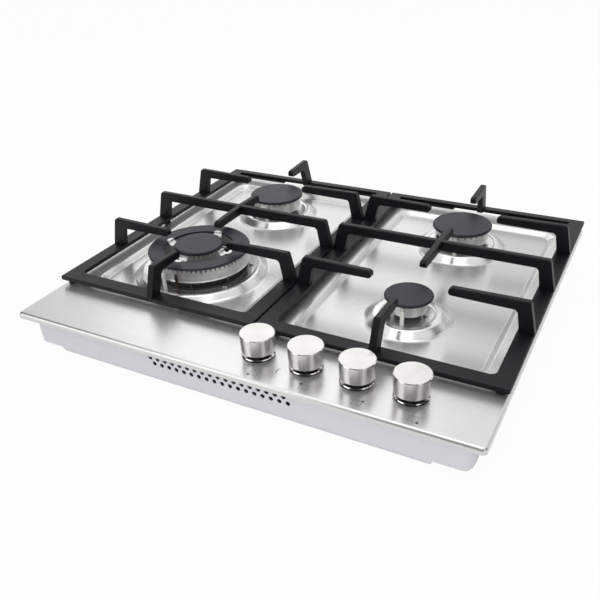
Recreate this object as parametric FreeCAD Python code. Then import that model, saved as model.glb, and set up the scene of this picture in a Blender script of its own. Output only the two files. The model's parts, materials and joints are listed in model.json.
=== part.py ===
"""Built-in gas cooktop with four burners: pressed steel plate, base pan, burners, valves and pan supports.

Millimetres, +Z up, +Y to the back.  The origin is at the middle of the underside of the base pan.
"""
import FreeCAD, Part
import math
import os

# ---------------------------------------------------------------- driving dimensions
PLATE_WIDTH = 580.0
PLATE_DEPTH = 510.0
PLATE_TOP = 53.0            # height of the plate's upper face over the underside of the pan
SHEET = 1.0                 # plate thickness
RIM_DROP = 7.0              # how far the rim turns down
RIM_RADIUS = 4.0            # rounding of the rim's upper edge
RIM_INNER_SHARE = 0.6       # bevel inside the rim as a share of its inner rounding
PLATE_CORNER = 5.5          # plan radius of the plate's corners

WELL_DEPTH = 5.0            # pressed well below the plate's upper face
WELL_SLOPE = 7.0            # horizontal run of the well's sloping wall
WELL_CORNER = 16.0
WELL_ROUND = 3.0            # rounding of the well's upper and lower edges
WELL_STRIP = 12.0           # flat strip between a pan support's frame and the well

SUPPORT_EDGE_GAP = 0.5      # pan support to plate edge
SUPPORT_SPLIT = 2.0         # gap between the two supports
SUPPORT_FRONT = 78.5        # plate's front edge to the supports
SUPPORT_BACK = 2.0          # supports to the plate's back edge
FRAME_WIDTH = 19.0
FRAME_TOP = 12.2            # over the plate
FRAME_CORNER = 7.0
FRAME_CHAMFER = 1.0
FRAME_STEP_WIDTH = 7.5      # lower inner ledge of the back bar
FRAME_STEP_DROP = 4.0
NOTCH_WIDTH = 78.0          # the ledge is cut back round the back finger
PAD_HEIGHT = 1.5
PAD_RADIUS = 5.0
PAD_INSET = 9.5
FINGER_TOP = 50.0           # pan height over the plate
FINGER_HEIGHT = 12.0
FINGER_WIDTH = 8.0
FINGER_CHAMFER = 1.2
FINGER_FALL = 1.5           # how much lower a finger's tip is
TIP_BEVEL = 3.5             # sloping end of a finger: run and drop
TIP_BEVEL_DROP = 3.0
TIP_UNDERCUT = 2.5
HEEL_BEVEL = 2.0            # outer upper corner over a post: run and drop
HEEL_DROP = 2.5
THROAT = 3.0                # bevel where a finger leaves its post
POST_TOP_WIDTH = 12.5
POST_FOOT_WIDTH = 17.0
POST_LEAN_SIDE = 9.0
POST_LEAN_END = 13.0
TIP_RADIUS = 46.0           # free circle between the finger tips round a burner
ROW_END = 110.75            # support's end to a row of fingers, which is also a burner row
ARM_TIP_FRONT = 44.0        # front burner's axis to the tip of the middle bar's arm
ARM_TIP_BACK = 58.0

PAN_MARGIN = 11.5           # plate's edge to the pan's wall
PAN_WALL = 1.0
PAN_CORNER = 12.0
PAN_EDGE = 9.0              # rounding of the pan's lower edges
LEDGE_RISE = 9.5            # side ledges over the middle floor
LEDGE_WIDTH = 44.0
LEDGE_SLOPE = 5.0           # run of the step from floor to ledge
TAB_WIDTH = 18.0            # tabs under the plate that the pan is screwed to
TAB_DROP = 14.0
TAB_THICK = 1.5
VENT_COUNT = 18
VENT_PITCH = 10.2
VENT_RADIUS = 2.8
VENT_SHIFT = 6.0            # vent rows left of the cooktop's middle
VENT_ROW_DROP = 25.7        # lower row below the plate's upper face
VENT_ROW_PITCH = 7.0
CLAMP_HOLE_RADIUS = 2.2
CLAMP_HOLE_SIDE = 28.5      # pan's side wall to the clamp holes
CLAMP_HOLE_END = 93.5       # pan's front and back walls to the clamp holes

SEAL_WIDTH = 6.0
SEAL_PROUD = 0.5            # seal below the rim's lower edge
SEAL_CORNER = 3.0

KNOB_COUNT = 4
KNOB_ROW_START = 118.75     # first knob left of the right-hand burners' line
KNOB_PITCH = 58.4
KNOB_SETBACK = 47.5         # plate's front edge to the knob centres
KNOB_RADIUS = 19.5
KNOB_FOOT_RADIUS = 18.5
KNOB_HEIGHT = 20.5
KNOB_CHAMFER = 0.8
KNOB_GAP = 7.0              # knob over the plate
BEZEL_RADIUS = 18.5
BEZEL_HEIGHT = 2.5
BEZEL_BEVEL = 0.8
BEZEL_BORE = 14.2
PUSH_TRAVEL = 3.0

SPINDLE_RADIUS = 3.0
SPINDLE_FLAT = 2.0          # half width over the flat
SPINDLE_DEPTH = 6.0         # spindle's end in the valve's plug
KNOB_COVER = 5.0            # knob over the spindle's end
COLLAR_GAP = 1.0            # collar over the valve's neck, pushed in
COLLAR_RADIUS = 17.5        # disc on the spindle that works the ignition switch
COLLAR_HEIGHT = 1.5
SPINDLE_HOLE = 6.0          # in the plate
VALVE_NECK = 7.5
VALVE_NECK_HEIGHT = 3.0
RUNNING_GAP = 0.05          # radial clearance of a turning fit
PLUG_RADIUS = 6.0
PLUG_HEIGHT = 15.0
VALVE_WIDTH = 24.0
VALVE_BACK = 13.0           # spindle axis to the outlet face
VALVE_BOTTOM = 19.0
VALVE_TOP = 40.0
VALVE_CORNER = 4.0
MAGNET_RADIUS = 7.5         # holding magnet of the flame guard, under the valve
MAGNET_BOTTOM = 3.0
MAGNET_SHIFT = 3.0          # behind the spindle's axis
PLUG_COVER = 2.0            # valve body over the plug
RAIL_RADIUS = 6.5
RAIL_SETBACK = 19.5         # spindle axis to the rail's axis
RAIL_HEIGHT = 25.0
RAIL_BEND = 20.0
RAIL_START = 18.0           # closed end beside the first valve's axis
RAIL_JOINT_RADIUS = 4.5     # valve's stub on the rail
RAIL_TURN = 36.3            # last knob's axis to the rail's leg to the back
INLET_RADIUS = 10.48        # half-inch parallel pipe thread, over the crests
INLET_LENGTH = 11.0
INLET_NECK = 9.5            # plain neck in the pan's wall, under the thread's root
INLET_NECK_OUT = 1.0        # how far the neck runs on outside the wall
INLET_BORE = 7.0
INLET_NUT = 10.0            # height of the hexagon inside the pan
INLET_NUT_RADIUS = 15.0     # over the hexagon's corners
PIPE_RADIUS = 4.0
PIPE_BEND = 12.0
BOSS_WALL = 1.6             # wall of the bosses that take the pipes
BOSS_LENGTH = 6.0
BOSS_PROUD = 3.0            # pipe's end outside a burner cup
OUTLET_LENGTH = 8.0

# Heights below are over the plate's upper face.  mound: foot, shoulder, inner edge and recess radius.
BURNERS = {
    "wok": dict(
        column=-1, row=-1, cap_top=33.0, cap_thick=3.0, cap=66.5, crown=65.0, base=13.0, inset=3.5,
        mound=(88.0, 79.0, 75.0, 73.0), mound_top=3.5, recess=2.0, bowl=27.0, lip=1.5,
        screws=(30, 150, 210, 330), electrode=-97.0, thermocouple=-81.0),
    "rear_left": dict(
        column=-1, row=1, cap_top=29.5, cap_thick=4.0, cap=39.5, crown=35.0, base=9.0, inset=6.0,
        mound=(60.0, 50.0, 46.0, 44.0), mound_top=3.5, recess=2.5,
        screws=(5, 185), electrode=-85.0, thermocouple=-128.0),
    "front_right": dict(
        column=1, row=-1, cap_top=28.0, cap_thick=3.5, cap=28.5, crown=22.0, base=9.0, inset=6.0,
        mound=(51.0, 40.0, 33.0, 31.0), mound_top=3.5, recess=2.5,
        screws=(5, 185), electrode=-85.0, thermocouple=-128.0),
    "rear_right": dict(
        column=1, row=1, cap_top=29.5, cap_thick=4.0, cap=39.5, crown=35.0, base=9.0, inset=6.0,
        mound=(60.0, 50.0, 46.0, 44.0), mound_top=3.5, recess=2.5, pipe_side=-1,
        screws=(5, 185), electrode=-85.0, thermocouple=-128.0),
}
MOUND_FOOT_ROUND = 8.0      # hollow rounding where a mound leaves the plate
MOUND_TOP_ROUND = 5.0
RECESS_ROUND = 3.0          # both edges of the step down to the recess
ELECTRODE_RADIUS = 2.5
ELECTRODE_PIN = 0.9
ELECTRODE_PIN_HEIGHT = 4.0
ELECTRODE_TAPER = 1.0       # ceramic's end down to the pin
ELECTRODE_TIP_DROP = 1.5    # pin's tip below a cap's seat
ELECTRODE_OFFSET = 4.0      # beyond the crown's edge
PROBE_RADIUS = 2.0
PROBE_TIP_DROP = 4.0        # probe's tip below a cap's seat
PROBE_DOME = 1.0            # bevel of a probe's tip
SHOULDER_RADIUS = 4.5
SHOULDER_HEIGHT = 4.0
PROBE_DEPTH = 20.0          # electrodes and probes below the plate
HOLE_GAP = 0.4
CUP_WALL = 2.5
CUP_DEPTH = 34.0            # below the plate's upper face
CUP_FLOOR = 4.0
CUP_FOOT = 3.0              # inset of the cup's foot
CUP_FOOT_RISE = 8.0
FLANGE = 3.0                # thickness and width of a cup's flange under the plate
STEM_RADIUS = 9.0
STEM_BORE = 6.5
STEM_DEPTH = 12.0
CROWN_WALL = 4.0
CROWN_FLOOR = 2.0
PORT_WIDTH = 1.6
PORT_DEPTH = 4.0
PORT_PITCH = 8.0
CAP_RIM_HEIGHT = 2.5
CAP_RIM_WALL = 2.0
CAP_EDGE = 1.2              # bevel of a cap's upper edge
CAP_UNDEREDGE = 0.8
JET_RADIUS = 4.0
JET_HEIGHT = 8.0
JET_FLATS = 6.6

WOK_RING_INNER = 47.0       # ring crown's inner wall
WOK_CENTRE_CAP = 31.5
WOK_CENTRE_TOP = 37.5
WOK_CENTRE_THICK = 4.0
WOK_CENTRE_CROWN = 30.5
WOK_RING_LAP = 1.5          # ring cap over the ring's inner wall
WOK_LOBE_REACH = 50.5
WOK_LOBE_WIDTH = 13.0
WOK_SADDLE = 5.0            # hollow across a lobe's top: radius and place
WOK_SADDLE_AT = 40.0
WOK_POSTS = 8
WOK_POST_WIDTH = 4.0
WOK_PORT_PITCH = 6.1
WOK_PORT_DEPTH = 3.5
WOK_LOBE_RISE = 0.3         # lobes over the ring cap
WOK_BEAD = 0.8              # bead round the crown's lower edge
WOK_CENTRE_PORTS = 32
WOK_NECK_WALL = 5.0
WOK_RIM_HEIGHT = 3.5        # ring on the posts that carries the crown
WOK_SAUCER = 9.0            # depth of the wide part under the plate

SCREW_RADIUS = 1.75
SCREW_HEAD = 3.2
SCREW_HEAD_HEIGHT = 2.0
CUP_SCREW_OFFSET = 5.2      # screw axis outside a burner cup's neck
EAR_RADIUS = 4.5
PAN_SCREW_DROP = 8.0        # below the plate's underside
SCREW_REACH = 5.0           # shank length inside what a screw holds

GLAND_SIDE = 98.5           # pan's left wall to the cable gland
GLAND_Z = 25.0
GLAND_BODY = 7.0            # radius of the gland's neck in the pan's back wall
GLAND_BORE = 4.5
GLAND_HEAD = 6.0            # how far the gland stands out of the pan
MODULE_SIZE = (70.0, 40.0, 24.0)
SWITCH_WIDTH = 7.0
SWITCH_DEPTH = 16.0
SWITCH_BOTTOM = 26.0
SWITCH_TOP = 42.0
PLUNGER_RADIUS = 1.5
PLUNGER_BOTTOM = 38.0
PLUNGER_GAP = 0.1           # plunger to the spindle's collar
OVERCUT = 1.0               # how far a cutter runs past what it cuts

# ---------------------------------------------------------------- places worked out from them
FRONT = -PLATE_DEPTH / 2
BACK = PLATE_DEPTH / 2
UNDERSIDE = PLATE_TOP - SHEET
SUPPORT_OUTER = PLATE_WIDTH / 2 - SUPPORT_EDGE_GAP
SUPPORT_INNER = SUPPORT_SPLIT / 2
SUPPORT_HALF_X = (SUPPORT_OUTER - SUPPORT_INNER) / 2
SUPPORT_X = (SUPPORT_OUTER + SUPPORT_INNER) / 2
SUPPORT_Y0 = FRONT + SUPPORT_FRONT
SUPPORT_Y1 = BACK - SUPPORT_BACK
SUPPORT_HALF_Y = (SUPPORT_Y1 - SUPPORT_Y0) / 2
SUPPORT_Y = (SUPPORT_Y0 + SUPPORT_Y1) / 2
ROW_PITCH = SUPPORT_HALF_Y - ROW_END
KNOB_Y = FRONT + KNOB_SETBACK
KNOB_XS = [SUPPORT_X - KNOB_ROW_START + KNOB_PITCH * k for k in range(KNOB_COUNT)]
PAN_WIDTH = PLATE_WIDTH - 2 * PAN_MARGIN
PAN_DEPTH = PLATE_DEPTH - 2 * PAN_MARGIN
PAN_Y0 = FRONT + PAN_MARGIN
PAN_BACK = BACK - PAN_MARGIN
PAN_SCREW_Z = UNDERSIDE - PAN_SCREW_DROP
RAIL_Y = KNOB_Y - RAIL_SETBACK
INLET_X = KNOB_XS[-1] + RAIL_TURN
GLAND_X = GLAND_SIDE - PAN_WIDTH / 2
COLLAR_Z = VALVE_TOP + VALVE_NECK_HEIGHT + PUSH_TRAVEL + COLLAR_GAP


def burner_centre(burner):
    return burner["column"] * SUPPORT_X, SUPPORT_Y + burner["row"] * ROW_PITCH


def around(burner, radius, degrees):
    """Point beside a burner, at a radius and angle from its axis."""
    x, y = burner_centre(burner)
    angle = math.radians(degrees)
    return x + radius * math.cos(angle), y + radius * math.sin(angle)


# ---------------------------------------------------------------- shape helpers
def vec(x, y, z=0.0):
    return FreeCAD.Vector(x, y, z)


def box(x0, x1, y0, y1, z0, z1):
    return Part.makeBox(x1 - x0, y1 - y0, z1 - z0, vec(x0, y0, z0))


def cylinder(radius, x, y, z0, z1):
    return Part.makeCylinder(radius, z1 - z0, vec(x, y, z0))


def cylinder_y(radius, x, z, y0, y1):
    return Part.makeCylinder(radius, y1 - y0, vec(x, y0, z), vec(0, 1, 0))


def ring(outer, inner, x, y, z0, z1):
    return cylinder(outer, x, y, z0, z1).cut(cylinder(inner, x, y, z0 - OVERCUT, z1 + OVERCUT))


def hexagon(across_flats, x, y, z0, z1):
    return prism(regular(across_flats / math.sqrt(3), 6, x, y), z0, z1)


def regular(radius, sides, x, y):
    angles = [2 * math.pi * (k + 0.5) / sides for k in range(sides)]
    return [(x + radius * math.cos(a), y + radius * math.sin(a)) for a in angles]


def face_of(points):
    return Part.Face(Part.makePolygon(points + points[:1]))


def prism(outline, z0, z1):
    """Upright prism over an outline in plan."""
    return face_of([vec(x, y, z0) for x, y in outline]).extrude(vec(0, 0, z1 - z0))


def turned(profile, x, y):
    """Solid of revolution about an upright axis; the profile holds radius and height pairs."""
    solid = face_of([vec(r, 0, z) for r, z in profile]).revolve(vec(0, 0, 0), vec(0, 0, 1), 360)
    solid.translate(vec(x, y, 0))
    return solid


def rounded_outline(x0, x1, y0, y1, radius, z):
    """Wire of a rectangle with round corners."""
    s = radius * (1 - math.sqrt(0.5))
    corners = [(x1, y0, 1, -1), (x1, y1, 1, 1), (x0, y1, -1, 1), (x0, y0, -1, -1)]
    edges = []
    points = []
    for k, (cx, cy, sx, sy) in enumerate(corners):
        on_x = vec(cx, cy - sy * radius, z)
        on_y = vec(cx - sx * radius, cy, z)
        first, last = (on_y, on_x) if k % 2 == 0 else (on_x, on_y)
        edges.append(Part.Arc(first, vec(cx - sx * s, cy - sy * s, z), last).toShape())
        points.append((first, last))
    for k in range(4):
        edges.append(Part.LineSegment(points[k][1], points[(k + 1) % 4][0]).toShape())
    return Part.Wire(Part.__sortEdges__(edges))


def rounded_block(x0, x1, y0, y1, z0, z1, radius):
    return Part.Face(rounded_outline(x0, x1, y0, y1, radius, z0)).extrude(vec(0, 0, z1 - z0))


def pick_edges(shape, test):
    return [e for e in shape.Edges if test(e)]


def at_height(edge, z):
    return abs(edge.BoundBox.ZMin - z) < 1e-4 and abs(edge.BoundBox.ZMax - z) < 1e-4


def corner_arc(before, corner, after, radius):
    """Start, middle and end of the arc that rounds a corner."""
    u = (before - corner).normalize()
    v = (after - corner).normalize()
    half = u.getAngle(v) / 2
    reach = radius / math.tan(half)
    middle = corner + (u + v).normalize() * (radius / math.sin(half) - radius)
    return corner + u * reach, middle, corner + v * reach


def turned_soft(profile, x, y):
    """Solid of revolution from radius, height and rounding of each corner of the profile."""
    corners = [vec(r, 0, z) for r, z, _ in profile]
    edges = []
    ends = []
    for k, (_, _, rounding) in enumerate(profile):
        first = last = corners[k]
        if rounding:
            following = corners[(k + 1) % len(corners)]
            first, middle, last = corner_arc(corners[k - 1], corners[k], following, rounding)
            edges.append(Part.Arc(first, middle, last).toShape())
        ends.append((first, last))
    for k in range(len(ends)):
        edges.append(Part.LineSegment(ends[k - 1][1], ends[k][0]).toShape())
    outline = Part.Wire(Part.__sortEdges__(edges))
    solid = Part.Face(outline).revolve(vec(0, 0, 0), vec(0, 0, 1), 360)
    solid.translate(vec(x, y, 0))
    return solid


def pipe(points, radius, bend):
    """Round bar through points, each inner corner rounded with one bend radius."""
    edges = []
    start = points[0]
    for k in range(1, len(points) - 1):
        first, middle, last = corner_arc(points[k - 1], points[k], points[k + 1], bend)
        edges.append(Part.LineSegment(start, first).toShape())
        edges.append(Part.Arc(first, middle, last).toShape())
        start = last
    edges.append(Part.LineSegment(start, points[-1]).toShape())
    path = Part.Wire(edges)
    circle = Part.Wire(Part.makeCircle(radius, points[0], points[1] - points[0]))
    return path.makePipeShell([circle], True, False)


# ---------------------------------------------------------------- top plate
def plate_forming(lower):
    """Upper face of the pressed plate as a block; lower gives the same face one sheet further down."""
    top = PLATE_TOP - lower
    half_x, half_y = PLATE_WIDTH / 2 - lower, PLATE_DEPTH / 2 - lower
    bottom = PLATE_TOP - RIM_DROP - (OVERCUT if lower else 0)
    block = rounded_block(-half_x, half_x, -half_y, half_y, bottom, top, PLATE_CORNER - lower)
    rim = pick_edges(block, lambda e: at_height(e, top))
    if lower:
        block = block.makeChamfer((RIM_RADIUS - lower) * RIM_INNER_SHARE, rim)
    else:
        block = block.makeFillet(RIM_RADIUS, rim)

    def in_well(edge):
        reach = edge.BoundBox
        inside = abs(reach.XMax) < half_x - 2 * RIM_RADIUS and abs(reach.YMax) < half_y - 2 * RIM_RADIUS
        return inside and (at_height(edge, top) or at_height(edge, top - WELL_DEPTH))

    x0 = SUPPORT_INNER + FRAME_WIDTH + WELL_STRIP
    x1 = SUPPORT_OUTER - FRAME_WIDTH - WELL_STRIP
    y0 = SUPPORT_Y0 + FRAME_WIDTH + WELL_STRIP
    y1 = SUPPORT_Y1 - FRAME_WIDTH - WELL_STRIP
    for side in (-1, 1):
        left, right = sorted((side * x0, side * x1))
        upper = rounded_outline(left, right, y0, y1, WELL_CORNER, top)
        s = WELL_SLOPE
        floor = rounded_outline(left + s, right - s, y0 + s, y1 - s, WELL_CORNER - s / 2, top - WELL_DEPTH)
        block = block.cut(Part.makeLoft([floor, upper], True, True))
    block = block.makeFillet(WELL_ROUND, pick_edges(block, in_well))
    for burner in BURNERS.values():
        x, y = burner_centre(burner)
        foot, shoulder, edge, recess = burner["mound"]
        high, low = top + burner["mound_top"], top + burner["recess"]
        root = top - WELL_DEPTH
        skirt = foot + MOUND_FOOT_ROUND
        profile = [(0, root - SHEET / 2, 0), (skirt, root - SHEET / 2, 0), (skirt, root, 0),
                   (foot, root, MOUND_FOOT_ROUND), (shoulder, high, MOUND_TOP_ROUND),
                   (edge, high, RECESS_ROUND), (recess, low, RECESS_ROUND), (0, low, 0)]
        block = block.fuse(turned_soft(profile, x, y))
    return block


def neck_radius(burner):
    return burner["crown"] - burner["inset"]


def recess_height(burner):
    """Upper face of the plate beside a burner's neck."""
    return PLATE_TOP + burner["recess"]


def make_top_plate():
    plate = plate_forming(0).cut(plate_forming(SHEET))
    high = PLATE_TOP + 2 * WELL_DEPTH
    low = PLATE_TOP - 2 * WELL_DEPTH
    for burner in BURNERS.values():
        x, y = burner_centre(burner)
        plate = plate.cut(cylinder(neck_radius(burner) + HOLE_GAP, x, y, low, high))
        reach = burner["crown"] + ELECTRODE_OFFSET
        for name, radius in (("electrode", ELECTRODE_RADIUS), ("thermocouple", PROBE_RADIUS)):
            px, py = around(burner, reach, burner[name])
            plate = plate.cut(cylinder(radius + HOLE_GAP, px, py, low, high))
        for x, y in cup_screw_places(burner):
            plate = plate.cut(cylinder(SCREW_RADIUS + HOLE_GAP, x, y, low, high))
    for x in KNOB_XS:
        plate = plate.cut(cylinder(SPINDLE_HOLE, x, KNOB_Y, low, high))
    inner = PAN_WIDTH / 2 - PAN_WALL
    for side, y in pan_screw_places():
        x0, x1 = sorted((side * inner, side * (inner - TAB_THICK)))
        tab = box(x0, x1, y - TAB_WIDTH / 2, y + TAB_WIDTH / 2, UNDERSIDE - TAB_DROP, UNDERSIDE + SHEET / 2)
        plate = plate.fuse(tab).cut(pan_screw_shank(side, y, SCREW_RADIUS + RUNNING_GAP))
    return plate


# ---------------------------------------------------------------- base pan
def pan_block(inset):
    """Outer form of the pan, or the same form inset by the wall."""
    x = PAN_WIDTH / 2 - inset
    y0, y1 = PAN_Y0 + inset, PAN_BACK - inset
    z = inset
    ledge = LEDGE_RISE + inset
    top = UNDERSIDE + (1 if inset else 0)
    radius = PAN_EDGE - inset
    step = PAN_WIDTH / 2 - LEDGE_WIDTH
    slope = step + LEDGE_SLOPE
    plan = rounded_block(-x, x, y0, y1, z - 1, top, PAN_CORNER - inset)
    across = side_profile([(-x, ledge), (x, ledge)], radius, top, lambda a, b: vec(a, y0 - 1, b))
    across = across.extrude(vec(0, y1 - y0 + 2, 0))
    floor = face_of([vec(-step, y0 - 1, z), vec(step, y0 - 1, z), vec(slope, y0 - 1, ledge + 1),
                     vec(-slope, y0 - 1, ledge + 1)]).extrude(vec(0, y1 - y0 + 2, 0))
    along = side_profile([(y0, z), (y1, z)], radius, top, lambda a, b: vec(-x - 1, a, b))
    along = along.extrude(vec(2 * x + 2, 0, 0))
    return across.fuse(floor).common(along).common(plan)


def side_profile(bottom, radius, top, place):
    """Rectangle with its two lower corners rounded, mapped into space by place."""
    (a0, b0), (a1, _) = bottom
    s = radius * (1 - math.sqrt(0.5))
    edges = [
        Part.LineSegment(place(a0 + radius, b0), place(a1 - radius, b0)).toShape(),
        Part.Arc(place(a1 - radius, b0), place(a1 - s, b0 + s), place(a1, b0 + radius)).toShape(),
        Part.LineSegment(place(a1, b0 + radius), place(a1, top)).toShape(),
        Part.LineSegment(place(a1, top), place(a0, top)).toShape(),
        Part.LineSegment(place(a0, top), place(a0, b0 + radius)).toShape(),
        Part.Arc(place(a0, b0 + radius), place(a0 + s, b0 + s), place(a0 + radius, b0)).toShape(),
    ]
    return Part.Face(Part.Wire(edges))


def pan_screw_places():
    return [(side, row * PAN_DEPTH / 3) for side in (-1, 1) for row in (-1, 0, 1)]


def pan_screw_shank(side, y, radius):
    """Screw shank, or its hole, level through the pan's wall and a plate tab."""
    outer = PAN_WIDTH / 2
    return Part.makeCylinder(radius, SCREW_REACH, vec(side * outer, y, PAN_SCREW_Z), vec(-side, 0, 0))


def make_base_pan():
    pan = pan_block(0).cut(pan_block(PAN_WALL))
    for row in range(2):
        z = PLATE_TOP - VENT_ROW_DROP + row * VENT_ROW_PITCH
        for k in range(VENT_COUNT):
            x = (k - (VENT_COUNT - 1 + row) / 2) * VENT_PITCH - VENT_SHIFT
            pan = pan.cut(cylinder_y(VENT_RADIUS, x, z, PAN_Y0 - 1, PAN_Y0 + PAN_WALL + 1))
    clamp_x = PAN_WIDTH / 2 - CLAMP_HOLE_SIDE
    for x in (-clamp_x, clamp_x):
        for y in (PAN_Y0 + CLAMP_HOLE_END, PAN_BACK - CLAMP_HOLE_END):
            pan = pan.cut(cylinder(CLAMP_HOLE_RADIUS, x, y, 0, LEDGE_RISE + PAN_WALL + 1))
    for side, y in pan_screw_places():
        pan = pan.cut(pan_screw_shank(side, y, SCREW_RADIUS + HOLE_GAP))
    pan = pan.cut(cylinder_y(INLET_RADIUS + HOLE_GAP, INLET_X, RAIL_HEIGHT, PAN_BACK - 5, PAN_BACK + 1))
    pan = pan.cut(cylinder_y(GLAND_BODY + HOLE_GAP, GLAND_X, GLAND_Z, PAN_BACK - 5, PAN_BACK + 1))
    return pan


def make_pan_screws():
    screws = []
    for side, y in pan_screw_places():
        outer = PAN_WIDTH / 2
        place = vec(side * outer, y, PAN_SCREW_Z)
        head = Part.makeCylinder(SCREW_HEAD, SCREW_HEAD_HEIGHT, place, vec(side, 0, 0))
        screws.append(head.fuse(pan_screw_shank(side, y, SCREW_RADIUS)))
    return screws


def make_rim_seal():
    """Foam strip round the inside of the rim; it stands on the worktop."""
    outer_x, outer_y = PLATE_WIDTH / 2 - SHEET, PLATE_DEPTH / 2 - SHEET
    z0, z1 = PLATE_TOP - RIM_DROP - SEAL_PROUD, UNDERSIDE
    corner = PLATE_CORNER - SHEET
    chamfer = (RIM_RADIUS - SHEET) * RIM_INNER_SHARE
    strip = rounded_block(-outer_x, outer_x, -outer_y, outer_y, z0, z1, corner)
    strip = strip.makeChamfer(chamfer, pick_edges(strip, lambda e: at_height(e, z1)))
    w = SEAL_WIDTH
    hole = rounded_block(-outer_x + w, outer_x - w, -outer_y + w, outer_y - w, z0 - 1, z1 + 1, SEAL_CORNER)
    return strip.cut(hole)


# ---------------------------------------------------------------- pan supports
def finger_profile(lean, length, tip=True):
    """Side view of a finger: distance in from the frame's outer edge, and height over the plate."""
    top, under = FINGER_TOP, FINGER_TOP - FINGER_HEIGHT
    head = lean + POST_TOP_WIDTH
    points = [(0, FRAME_TOP / 2), (0, FRAME_TOP), (lean, top - HEEL_DROP), (lean + HEEL_BEVEL, top)]
    if tip:
        low = top - FINGER_FALL
        points += [(length - TIP_BEVEL, low), (length, low - TIP_BEVEL_DROP),
                   (length, under + TIP_BEVEL_DROP), (length - TIP_UNDERCUT, under + 1)]
    else:
        points += [(length, top), (length, under)]
    points += [(head + THROAT, under), (head, under - THROAT), (POST_FOOT_WIDTH, FRAME_TOP),
               (POST_FOOT_WIDTH, FRAME_TOP / 2)]
    return points


def make_finger(lean, length, x, y, degrees, tip=True):
    """Cast finger that starts at a frame edge at x, y and points along the given direction."""
    half = FINGER_WIDTH / 2
    profile = [vec(d, -half, z) for d, z in finger_profile(lean, length, tip)]
    finger = face_of(profile).extrude(vec(0, FINGER_WIDTH, 0))

    def is_top(edge):
        box_ = edge.BoundBox
        return box_.YLength < 1e-4 and box_.ZMin > FINGER_TOP - 5 and box_.XLength > 5

    finger = finger.makeChamfer(FINGER_CHAMFER, pick_edges(finger, is_top))
    finger.rotate(vec(0, 0, 0), vec(0, 0, 1), degrees)
    finger.translate(vec(x, y, 0))
    return finger


def make_arm(y0, y1):
    """Front-to-back arm of the middle bar, tapered at both tips."""
    top, under = FINGER_TOP, FINGER_TOP - FINGER_HEIGHT
    low = top - FINGER_FALL
    half = FINGER_WIDTH / 2
    drop = TIP_BEVEL_DROP
    profile = [(y0, low - drop), (y0 + TIP_BEVEL, low), (0, top), (y1 - TIP_BEVEL, low), (y1, low - drop),
               (y1, under + drop), (y1 - TIP_UNDERCUT, under + 1), (0, under),
               (y0 + TIP_UNDERCUT, under + 1), (y0, under + drop)]
    arm = face_of([vec(-half, y, z) for y, z in profile]).extrude(vec(FINGER_WIDTH, 0, 0))

    def is_top(edge):
        box_ = edge.BoundBox
        return box_.XLength < 1e-4 and box_.ZMin > FINGER_TOP - 4 and box_.YLength > 5

    return arm.makeChamfer(FINGER_CHAMFER, pick_edges(arm, is_top))


def make_frame():
    """Flat frame of a pan support, about its own middle."""
    hx, hy = SUPPORT_HALF_X, SUPPORT_HALF_Y
    w = FRAME_WIDTH
    frame = rounded_block(-hx, hx, -hy, hy, PAD_HEIGHT, FRAME_TOP, FRAME_CORNER)
    frame = frame.makeChamfer(FRAME_CHAMFER, pick_edges(frame, lambda e: at_height(e, FRAME_TOP)))
    frame = frame.cut(rounded_block(-hx + w, hx - w, -hy + w, hy - w, 0, FRAME_TOP + 1, FRAME_CORNER))
    ledge = FRAME_TOP - FRAME_STEP_DROP
    back = hy - w + FRAME_STEP_WIDTH
    frame = frame.cut(box(-hx + w, hx - w, hy - w - 1, back, ledge, FRAME_TOP + 1))
    frame = frame.cut(box(-NOTCH_WIDTH / 2, NOTCH_WIDTH / 2, hy - w - 1, back, 0, FRAME_TOP))
    return frame


def make_fingers():
    """Fingers of a pan support with their posts, which run down into the frame."""
    hx, hy = SUPPORT_HALF_X, SUPPORT_HALF_Y
    side_length = hx - TIP_RADIUS
    end_length = ROW_END - TIP_RADIUS
    fingers = []
    for sign, angle in ((-1, 0), (1, 180)):
        for row in (-1, 1):
            fingers.append(make_finger(POST_LEAN_SIDE, side_length, sign * hx, row * ROW_PITCH, angle))
        fingers.append(make_finger(POST_LEAN_END, end_length, 0, sign * hy, 90 if sign < 0 else -90))
    bar = make_finger(POST_LEAN_SIDE, hx, -hx, 0, 0, tip=False)
    bar = bar.fuse(make_finger(POST_LEAN_SIDE, hx, hx, 0, 180, tip=False))
    arms = make_arm(ARM_TIP_FRONT - ROW_PITCH, ROW_PITCH - ARM_TIP_BACK).cut(bar).Solids
    return fingers + [bar.removeSplitter()] + arms


def make_pan_support(side):
    """Cast support: the frame with the posts' roots, and the fingers that stand on it."""
    fingers = make_fingers()
    hx, hy = SUPPORT_HALF_X, SUPPORT_HALF_Y
    above = box(-hx - 1, hx + 1, -hy - 1, hy + 1, FRAME_TOP, FINGER_TOP + 1)
    whole = make_frame().multiFuse(fingers)
    frame = whole.cut(above).removeSplitter()
    fingers = [finger.common(above) for finger in fingers]
    for shape in [frame] + fingers:
        shape.translate(vec(side * SUPPORT_X, SUPPORT_Y, PLATE_TOP))
    return frame, fingers


def make_support_pads(side):
    pads = []
    x = SUPPORT_HALF_X - PAD_INSET
    y = SUPPORT_HALF_Y - PAD_INSET
    for px in (-x, x):
        for py in (-y, 0, y):
            pads.append(cylinder(PAD_RADIUS, side * SUPPORT_X + px, SUPPORT_Y + py,
                                 PLATE_TOP, PLATE_TOP + PAD_HEIGHT))
    return pads


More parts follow.
